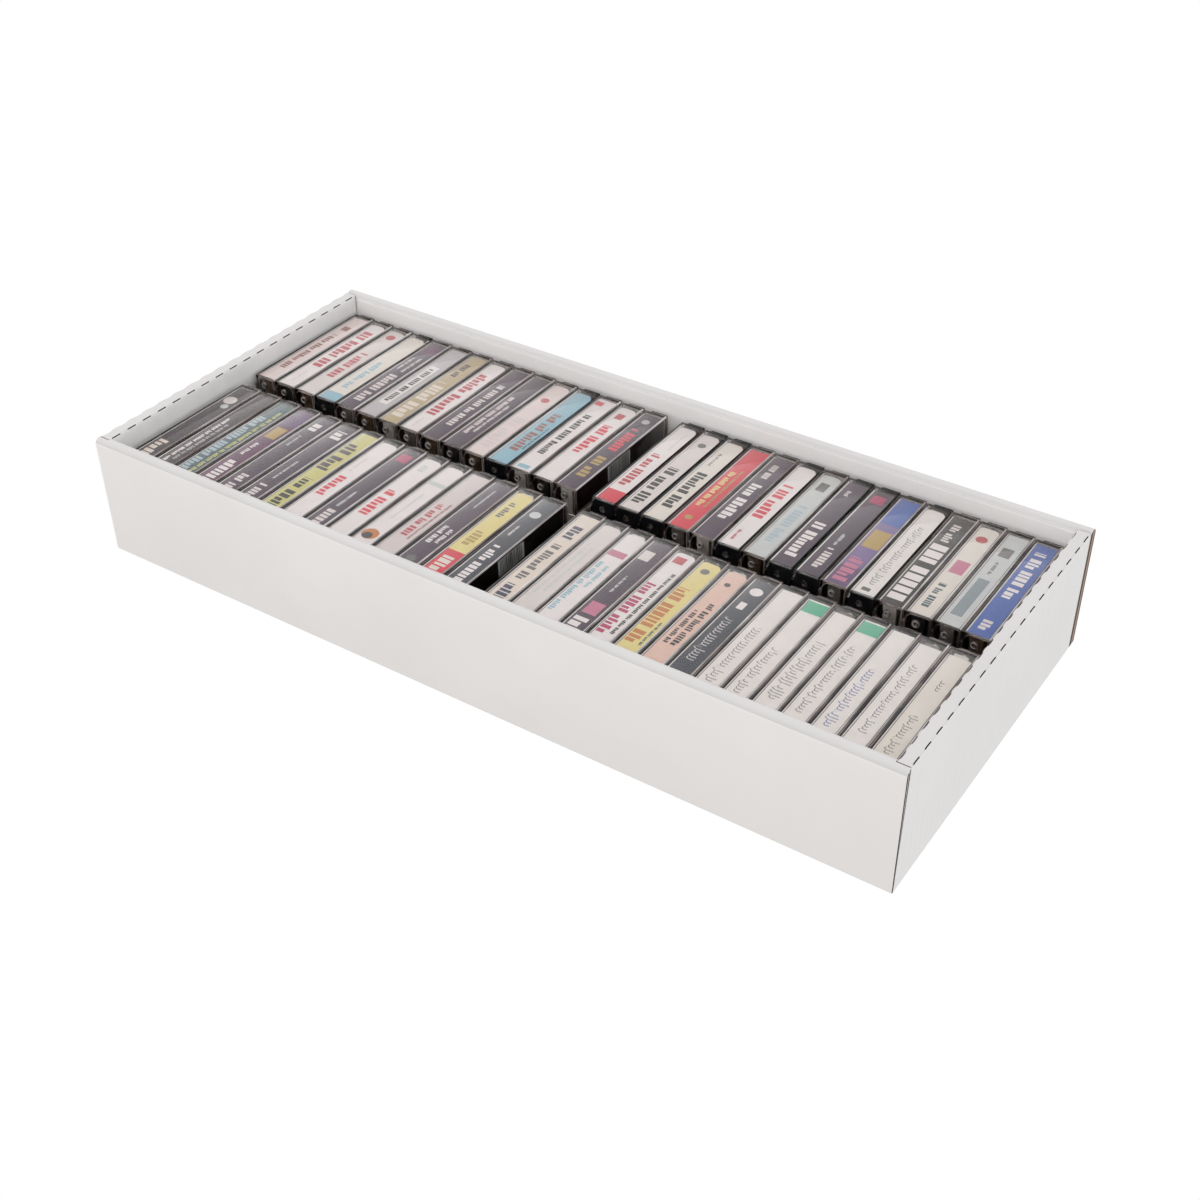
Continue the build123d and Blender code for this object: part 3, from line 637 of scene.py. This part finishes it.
front_left_spines = [
    ("dark brown", "square", [("title", 0.04, 0.24, 0.2, 0.7, "beige"),
                              ("disc", 0.84, 0.45, 0.34, "off white"),
                              ("disc", 0.76, 0.6, 0.2, "light grey")]),
    ("dark brown", "square", [("row", 0.06, 0.66, 0.26, 0.44, "white"),
                              ("row", 0.10, 0.60, 0.58, 0.74, "lilac grey")]),
    ("teal", "square", [("title", 0.06, 0.80, 0.10, 0.50, "pale blue"),
                        ("row", 0.04, 0.90, 0.66, 0.86, "acid yellow")]),
    ("plum", "square", [("title", 0.02, 0.30, 0.3, 0.8, "white"), ("band", 0.62, 0.76, 0.2, 0.8, "gold"),
                        ("row", 0.38, 0.54, 0.3, 0.5, "white"), ("band", 0.80, 0.98, 0, 1, "purple")]),
    ("dark grey", "square", [("title", 0.02, 0.22, 0.3, 0.72, "off white"),
                             ("title", 0.84, 0.94, 0.2, 0.76, "white"),
                             ("row", 0.62, 0.76, 0.3, 0.42, "light grey")]),
    ("dark grey", "square", [("title", 0.04, 0.20, 0.26, 0.66, "off white"),
                             ("title", 0.84, 0.94, 0.24, 0.8, "white"),
                             ("row", 0.28, 0.52, 0.4, 0.52, "light grey")]),
    ("acid yellow", "square", [("title", 0.04, 0.40, 0.3, 0.8, "black"),
                               ("title", 0.52, 0.86, 0.16, 0.76, "dark grey")]),
    ("white", "round", [("title", 0.30, 0.56, 0.24, 0.66, "red"),
                        ("row", 0.60, 0.78, 0.3, 0.44, "pale pink")]),
    ("dark grey", "square", [("title", 0.00, 0.22, 0.3, 0.72, "off white"),
                             ("row", 0.26, 0.44, 0.4, 0.56, "light grey"),
                             ("band", 0.86, 0.95, 0.2, 0.8, "magenta")]),
    ("white", "round", [("title", 0.28, 0.58, 0.24, 0.72, "red"),
                        ("row", 0.84, 0.92, 0.3, 0.6, "light grey")]),
    ("white", "round", [("disc", 0.14, 0.5, 0.40, "orange"), ("disc", 0.12, 0.45, 0.24, "dark brown"),
                        ("row", 0.34, 0.66, 0.45, 0.56, "light grey"),
                        ("band", 0.76, 0.80, 0, 1, "light grey")]),
    ("pale pink", "square", [("title", 0.24, 0.62, 0.26, 0.6, "soft red"),
                             ("row", 0.22, 0.66, 0.72, 0.84, "red brown")]),
    ("dark grey", "square", [("title", 0.26, 0.46, 0.22, 0.46, "white"),
                             ("row", 0.28, 0.44, 0.6, 0.8, "white"), ("disc", 0.08, 0.5, 0.24, "grey"),
                             ("row", 0.7, 0.92, 0.4, 0.5, "light grey")]),
    ("yellow", "round", [("band", 0.00, 0.28, 0, 1, "red"), ("title", 0.06, 0.24, 0.25, 0.8, "cream"),
                         ("title", 0.36, 0.52, 0.3, 0.75, "gold"), ("row", 0.7, 0.88, 0.3, 0.6, "grey")]),
    ("slate", "square", [("title", 0.05, 0.46, 0.30, 0.70, "white"),
                         ("disc", 0.84, 0.45, 0.26, "light grey"),
                         ("row", 0.58, 0.70, 0.3, 0.42, "off white")]),
]
front_right_spines = [
    ("beige", "square", [("title", 0.04, 0.20, 0.28, 0.8, "navy"), ("title", 0.26, 0.66, 0.30, 0.7, "grey"),
                         ("title", 0.74, 0.88, 0.28, 0.74, "navy")]),
    ("off white", "round", [("row", 0.20, 0.78, 0.26, 0.40, "light grey"),
                            ("row", 0.24, 0.74, 0.56, 0.70, "light grey")]),
    ("white", "round", [("title", 0.12, 0.66, 0.16, 0.40, "light blue"),
                        ("row", 0.40, 0.64, 0.56, 0.74, "light blue"),
                        ("band", 0.74, 0.80, 0.1, 0.9, "pink")]),
    ("dark grey", "square", [("title", 0.02, 0.16, 0.16, 0.8, "white"),
                             ("band", 0.20, 0.32, 0.2, 0.85, "pink"),
                             ("row", 0.44, 0.62, 0.4, 0.52, "light grey"),
                             ("band", 0.80, 0.90, 0.1, 0.6, "off white")]),
    ("white", "round", [("title", 0.10, 0.64, 0.12, 0.56, "magenta"),
                        ("row", 0.12, 0.78, 0.70, 0.86, "black"),
                        ("band", 0.88, 0.95, 0.2, 0.7, "soft red")]),
    ("yellow", "round", [("band", 0.0, 0.05, 0, 1, "red"), ("title", 0.12, 0.70, 0.14, 0.66, "orange"),
                         ("row", 0.12, 0.36, 0.78, 0.9, "teal"), ("disc", 0.90, 0.5, 0.2, "grey")]),
    ("peach", "round", [("row", 0.22, 0.56, 0.24, 0.44, "dark brown"),
                        ("title", 0.22, 0.66, 0.56, 0.84, "dark brown"),
                        ("disc", 0.86, 0.5, 0.14, "dark brown")]),
    ("slate", "square", [("pen", 0.16, 0.60, 0.15, 0.75, "white"), ("band", 0.70, 0.77, 0.3, 0.6, "white"),
                         ("disc", 0.89, 0.5, 0.28, "white")]),
    ("home white", "square", [("pen", 0.06, 0.62, 0.2, 0.76, "pencil")]),
    ("home white", "square", [("band", 0.88, 0.99, 0, 1, "green"),
                              ("pen", 0.06, 0.50, 0.2, 0.7, "pencil")]),
    ("home white", "short", [("pen", 0.12, 0.70, 0.2, 0.8, "grey")]),
    ("home white", "square", [("band", 0.88, 0.99, 0, 1, "green"),
                              ("pen", 0.10, 0.74, 0.25, 0.7, "pencil")]),
    ("home white", "square", [("pen", 0.08, 0.62, 0.2, 0.74, "pen blue")]),
    ("home white", "short", [("pen", 0.14, 0.80, 0.3, 0.7, "pencil")]),
    ("cream", "short", [("pen", 0.06, 0.42, 0.3, 0.74, "grey"), ("pen", 0.66, 0.76, 0.4, 0.7, "grey")]),
]

side_inks = ((0.045, 0.030, 0.024), (0.10, 0.045, 0.09), (0.06, 0.04, 0.03), (0.012, 0.010, 0.010),
             (0.045, 0.040, 0.042), (0.10, 0.02, 0.03), (0.045, 0.030, 0.024), (0.02, 0.05, 0.035))
aspect = (card_high.x - card_low.x) / (card_high.y - card_low.y)


def print_row(start, end, low, high, colour, boldness):
    """Upright strokes with word gaps, as flat patches (along, along, across, across, colour)."""
    tall = (high - low) * aspect
    patches, at, left = [], start, random.randint(3, 7)
    while at < end:
        wide = tall * random.uniform(0.5, 1.0) * boldness
        cut = (high - low) * random.choice((0, 0, 0.25))
        patches.append((at, min(at + wide, end), low, high - cut, colour))
        at += wide + tall * random.uniform(0.12, 0.20)
        left -= 1
        if left == 0:
            at += tall * 0.45
            left = random.randint(3, 7)
    return patches


def pen_line(start, end, low, high, colour):
    """A line of loops and waves from a pen, as short slanted patches given by their four corners."""
    step = 0.0035
    swing = 0.009
    lean = 0.0028
    nib = 0.036
    steps = int((end - start) / step)
    height, points, patches = high - low, [], []
    for n in range(steps + 1):
        # Each letter is a loop that leans forward. Some reach higher than others, and words stand apart.
        turn = n * 0.9
        if n % 7 == 0:
            reach = random.choice((0.22, 0.26, 0.30, 0.46))
        along = start + (end - start) * n / steps + swing * math.cos(turn)
        points.append((along, (low + high) / 2 + height * reach * math.sin(turn)))
    for n, ((a, b), (c, d)) in enumerate(zip(points, points[1:])):
        if n % 40 > 34:
            continue
        patches.append((((a, b), (c, d), (c + lean, d + nib), (a + lean, b + nib)), colour))
    return patches


stroke_widths = {"bold": 0.80, "title": 0.56, "row": 0.60}


def mark_patches(kind, *sizes):
    """Every patch of one printed mark, as (corners in shares of the spine, colour)."""
    if kind == "pen":
        return pen_line(*sizes)
    if kind == "disc":
        along, across, radius, colour = sizes
        turn = [2 * math.pi * n / 20 for n in range(20)]
        rim = [(along + radius * aspect * math.cos(t), across + radius * math.sin(t)) for t in turn]
        return [(rim, colour)]
    rows = [sizes] if kind == "band" else print_row(*sizes, stroke_widths[kind])
    return [([(start, low), (end, low), (end, high), (start, high)], colour)
            for start, end, low, high, colour in rows]


# One plain card for each way that the spine's far corners are cut.
card_patterns = {}
for cut, far_gap, corner in (
    ("square", 0.0012, 0.0006),
    ("round", 0.0024, card_corner),
    ("short", 0.0040, 0.0006),
):
    pattern = block(f"card_pattern_{cut}", (card_low.x, card_low.y, card_high.z - card_thick),
                    (card_high.x, card_high.y - far_gap, card_high.z))
    bpy.ops.object.mode_set(mode="EDIT")
    pick("edges", lambda middle, edge: runs_along(edge, 2) and middle.y > 0)
    bpy.ops.mesh.bevel(offset=corner, offset_type="OFFSET", segments=6, affect="EDGES")
    bpy.ops.object.mode_set(mode="OBJECT")
    front = block("card_front", card_low, (card_low.x + card_thick, card_high.y, card_high.z - card_corner))
    flap = block("card_flap", (card_high.x - card_thick, card_low.y, card_high.z - flap_drop),
                 (card_high.x, card_high.y, card_high.z - 2 * card_thick))
    for part in (pattern, front, flap):
        part.select_set(True)
    bpy.context.view_layer.objects.active = pattern
    bpy.ops.object.join()
    card_patterns[cut] = pattern


def flap_bars():
    """A pale field with dark bars on the short flap, as (along, along, up, up, ink)."""
    start, top = card_low.y + 0.34 * (card_high.y - card_low.y), card_high.z - 0.0015
    patches, at = [(start, start + 0.026, top - 0.011, top, "light grey")], start + 0.002
    while at < start + 0.0235:
        wide = random.choice((0.0004, 0.0006, 0.0010))
        patches.append((at, at + wide, top - 0.0105, top - 0.0005, "black"))
        at += wide + random.choice((0.0004, 0.0007))
    return patches


def printed(cut, ground, marks, name, barred):
    """A card with its ground colour and its printing, about the case's own origin."""
    card = card_patterns[cut].copy()
    card.data = card_patterns[cut].data.copy()
    card.name = card.data.name = name
    bpy.context.scene.collection.objects.link(card)
    sheet = bmesh.new()
    sheet.from_mesh(card.data)
    colours = sheet.loops.layers.float_color.new("ink")
    # Behind the spine the card is dark, and tints what shows between two spines.
    sides = (0.012, 0.010, 0.010) if barred else random.choice(side_inks)
    for face in sheet.faces:
        on_spine = face.calc_center_median().z > card_high.z - 1.5 * card_thick
        for corner in face.loops:
            corner[colours] = (*(inks[ground] if on_spine else sides), 1)
    if barred:
        for start, end, low, high, ink in flap_bars():
            out = card_high.x + print_lift * (2 if ink == "black" else 1)
            patch = sheet.faces.new([sheet.verts.new((out, along, up)) for along, up in
                                     ((start, low), (end, low), (end, high), (start, high))])
            for corner in patch.loops:
                corner[colours] = (*inks[ink], 1)
    # The fold at the spine's left gets a painted highlight line, with painted shade beside it on light card.
    marks = [*marks, ("band", 0.0, 1.0, 0.0, 0.055, "white")]
    if sum(inks[ground]) > 1.2:
        marks.append(("band", 0.0, 1.0, 0.055, 0.085, "dark brown"))
    length = card_high.y - card_low.y - (0.0040 if cut == "short" else 0.0014)
    across = card_high.x - card_low.x
    for order, mark in enumerate(marks):
        for count, (corners, colour) in enumerate(mark_patches(*mark)):
            # Each mark lies over the one before it, and the strokes of a pen over one another.
            height = card_high.z + print_lift * (1 + (order + count % 3 / 4) / 3)
            patch = sheet.faces.new([
                sheet.verts.new((card_low.x + min(max(w, 0.0), 1.0) * across, card_low.y + a * length,
                                 height))
                for a, w in corners
            ])
            patch.normal_update()
            if patch.normal.z < 0:
                patch.normal_flip()
            for corner in patch.loops:
                corner[colours] = (*inks[colour], 1)
    sheet.to_mesh(card.data)
    sheet.free()
    paint(card, printed_card)
    return card


# ---- Cassettes of the cases that stay shut ----
# Moulded shells in black, smoke or white, seen only through the ends of their cases and beside the open gaps.

cassette_corner = 0.0006


def shell_finish(colour, pale, dark):
    """Finely grained moulded plastic."""
    return mottled_finish(f"cassette_shell_{colour}", pale, dark, 80, 0.42, 0.00002)


black_shell = shell_finish("black", (0.026, 0.026, 0.028), (0.018, 0.018, 0.020))
smoke_shell = mottled_finish("cassette_shell_smoke", (0.14, 0.095, 0.060), (0.09, 0.065, 0.042), 80, 0.3)
grey_shell = shell_finish("grey", (0.18, 0.175, 0.165), (0.14, 0.135, 0.125))
white_shell = shell_finish("white", (0.58, 0.57, 0.55), (0.52, 0.51, 0.49))
shell_colours = (black_shell, smoke_shell, grey_shell, smoke_shell, black_shell, grey_shell, white_shell)

low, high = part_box("rear_right_gap_case_lid")
rear_right_origin = Vector(((low.x + high.x) / 2, (low.y + high.y) / 2, low.z))
cassette_pattern = case_part("rear_right_gap_case_cassette", "cassette_pattern")
cassette_pattern.data.transform(Matrix.Translation(case_origin - rear_right_origin))
round_corners(cassette_pattern, cassette_corner, 0)

# ---- The sixty cases in their places ----
# Two rows of two blocks, fifteen cases to a block. They stand loose in the tray, held by their neighbours.
# The case beside the gap in each block comes out, with its own pieces on its own bodies.

random.seed(7)
blocks = {
    "rear_left": (rear_left_spines, 14, (3, 11)),
    "rear_right": (rear_right_spines, 0, (0, 1, 2, 5, 7, 8, 10)),
    "front_left": (front_left_spines, 14, ()),
    "front_right": (front_right_spines, 0, ()),
}


def stand(piece, place, name, body, node, copy=True):
    """Sets a copy of a pattern in its place in the tray, to ride on its body and stand for its CAD node."""
    if copy:
        piece_copy = piece.copy()
        piece_copy.data = piece.data.copy()
        bpy.context.scene.collection.objects.link(piece_copy)
        piece = piece_copy
    piece.name = piece.data.name = name
    piece.data.transform(Matrix.Translation(place))
    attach(piece, body)
    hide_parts(node)
    return piece


for block_name, (spines, gap_case, black) in blocks.items():
    group_low, group_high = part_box(f"{block_name}_case_lids")
    gap_low, gap_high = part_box(f"{block_name}_gap_case_lid")
    first = min(group_low.x, gap_low.x) + case_thick / 2
    pitch = (max(group_high.x, gap_high.x) - min(group_low.x, gap_low.x) - case_thick) / (len(spines) - 1)
    for n, (ground, cut, marks) in enumerate(spines):
        place = Vector((first + n * pitch, (gap_low.y + gap_high.y) / 2, gap_low.z))
        name = f"{block_name}_case_{n + 1:02d}"
        if n == gap_case:
            opens = block_name.endswith("right")
            base_body = f"{block_name}_case"
            lid_body = f"{block_name}_lid" if opens else base_body
            node = {part: f"{block_name}_gap_case_{part}" for part in ("base", "lid", "j_card", "cassette")}
        else:
            base_body = lid_body = "tray"
            node = {"base": f"{block_name}_case_bases", "lid": f"{block_name}_case_lids",
                    "j_card": f"{block_name}_j_cards", "cassette": f"{block_name}_cassettes"}
            if n in black:
                node["base"] = f"{block_name}_black_case_bases"

        lid = stand(lid_pattern, place, f"{name}_lid", lid_body, node["lid"])
        base = stand(base_pattern, place, f"{name}_base", base_body, node["base"])
        if n in black:
            paint(base, black_styrene, black_styrene)
            paint(lid, clear_styrene, black_styrene, shaded_lip, black_styrene, spine_edge_glint)
        card = printed(cut, ground, marks, f"{name}_card", barred=n == len(spines) - 1)
        stand(card, place, f"{name}_card", lid_body, node["j_card"], copy=False)
        if not (block_name == "front_right" and n == gap_case):
            cassette = stand(cassette_pattern, place, f"{name}_cassette", lid_body, node["cassette"])
            paint(cassette, random.choice(shell_colours))

for pattern in (lid_pattern, base_pattern, cassette_pattern, *card_patterns.values()):
    bpy.data.objects.remove(pattern)

# ---- Cassette of the front right gap case ----
# The one cassette that is built with everything inside it. Its own CAD pieces show, each in its finish.

window_clear = see_through("cassette_window_clear", (0.92, 0.93, 0.94), 0.0, 1.5)
hub_white = mottled_finish("hub_white_acetal", (0.74, 0.74, 0.72), (0.68, 0.68, 0.66), 90, 0.35)
brown_tape = mottled_finish("brown_oxide_tape", (0.050, 0.027, 0.017), (0.036, 0.019, 0.012), 120, 0.28)
grey_film = mottled_finish("graphite_film", (0.12, 0.12, 0.125), (0.08, 0.08, 0.085), 150, 0.5)
bright_steel = mottled_finish("bright_steel", (0.64, 0.64, 0.64), (0.52, 0.52, 0.53), 250, 0.25, Metallic=1.0)
bronze_strip = mottled_finish("bronze_strip", (0.58, 0.36, 0.16), (0.48, 0.28, 0.11), 250, 0.3, Metallic=1.0)
felt_pad = mottled_finish("felt_pad", (0.46, 0.40, 0.31), (0.36, 0.31, 0.24), 900, 0.95, 0.0002)
label_paper = mottled_finish("label_paper", (0.68, 0.64, 0.54), (0.62, 0.58, 0.48), 300, 0.6)


def wound_tape(pack):
    """Brown tape whose turns show as fine rings round the hub that the pack is wound on: the turns' own tone,
    with a painted sheen.
    """
    low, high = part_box(pack)
    finish, tree, shader = plain_finish(f"brown_{pack}", (0.045, 0.024, 0.015), 0.28)
    place = tree.nodes.new("ShaderNodeTexCoord")
    centred = tree.nodes.new("ShaderNodeVectorMath")
    centred.operation = "SUBTRACT"
    centred.inputs[1].default_value = (low + high) / 2
    turns = tree.nodes.new("ShaderNodeTexWave")
    turns.wave_type = "RINGS"
    turns.rings_direction = "X"
    turns.inputs["Scale"].default_value = 900
    turns.inputs["Distortion"].default_value = 3
    turns.inputs["Detail Scale"].default_value = 0.2
    ramp = tree.nodes.new("ShaderNodeValToRGB")
    ramp.color_ramp.elements[0].color = (0.030, 0.016, 0.010, 1)
    ramp.color_ramp.elements[1].color = (0.065, 0.036, 0.023, 1)
    tree.links.new(place.outputs["Object"], centred.inputs[0])
    tree.links.new(centred.outputs["Vector"], turns.inputs["Vector"])
    tree.links.new(turns.outputs["Fac"], ramp.inputs["Fac"])
    tree.links.new(ramp.outputs["Color"], shader.inputs["Base Color"])
    return finish


for node, finish in {
    "cassette_shell_front": black_shell,
    "cassette_shell_back": black_shell,
    "cassette_window_front": window_clear,
    "cassette_window_back": window_clear,
    "cassette_slip_sheet_front": grey_film,
    "cassette_slip_sheet_back": grey_film,
    "cassette_label_front": label_paper,
    "cassette_label_back": label_paper,
    "cassette_hub_left": hub_white,
    "cassette_hub_right": hub_white,
    "cassette_leader_clips": hub_white,
    "cassette_tape_pack_left": wound_tape("cassette_tape_pack_left"),
    "cassette_tape_pack_right": wound_tape("cassette_tape_pack_right"),
    "cassette_tape_run": brown_tape,
    "cassette_guide_roller_left": hub_white,
    "cassette_guide_roller_right": hub_white,
    "cassette_roller_pins": bright_steel,
    "cassette_pressure_pad": felt_pad,
    "cassette_pad_spring": bronze_strip,
    "cassette_magnetic_shield": bright_steel,
}.items():
    paint(cad_nodes[node], finish)

# ---- Floor, light and camera ----
# A plain pale floor under an even white sky, with one soft lamp high at the left for the gloss of the cases.

bpy.ops.object.select_all(action="DESELECT")
bpy.ops.mesh.primitive_plane_add(size=12, location=(0, 0, -0.0002))
studio_floor = bpy.context.object
studio_floor.name = "studio_floor"
# To the camera the floor is pure white. The light that it throws back up is weaker.
floor_white, tree, shader = plain_finish("floor_white", (0, 0, 0), 1.0, Specular_IOR_Level=0.0)
path = tree.nodes.new("ShaderNodeLightPath")
glow = tree.nodes.new("ShaderNodeMapRange")
glow.inputs["To Min"].default_value = 0.7
glow.inputs["To Max"].default_value = 1.0
tree.links.new(path.outputs["Is Camera Ray"], glow.inputs["Value"])
tree.links.new(glow.outputs["Result"], shader.inputs["Emission Strength"])
shader.inputs["Emission Color"].default_value = (1, 1, 1, 1)
paint(studio_floor, floor_white)

sky = bpy.data.worlds.new("even_sky")
bpy.context.scene.world = sky
sky.use_nodes = True
sky.node_tree.nodes["Background"].inputs["Color"].default_value = (1, 1, 1, 1)
sky.node_tree.nodes["Background"].inputs["Strength"].default_value = 1.2

bpy.ops.object.light_add(type="AREA", location=(-0.9, -1.0, 1.7))
soft_lamp = bpy.context.object
soft_lamp.name = "soft_lamp"
soft_lamp.data.shape = "RECTANGLE"
soft_lamp.data.size = 1.2
soft_lamp.data.size_y = 0.8
soft_lamp.data.energy = 5
soft_lamp.rotation_euler = (Vector((0, 0, 0)) - soft_lamp.location).to_track_quat("-Z", "Y").to_euler()

bpy.ops.object.camera_add(location=(0.5037, -0.7170, 0.6515), rotation=(0.9271, 0.0076, 0.5898))
camera = bpy.context.object
camera.data.lens = 50.95
camera.data.clip_start = 0.01
bpy.context.scene.camera = camera
bpy.context.scene.view_settings.view_transform = "Standard"
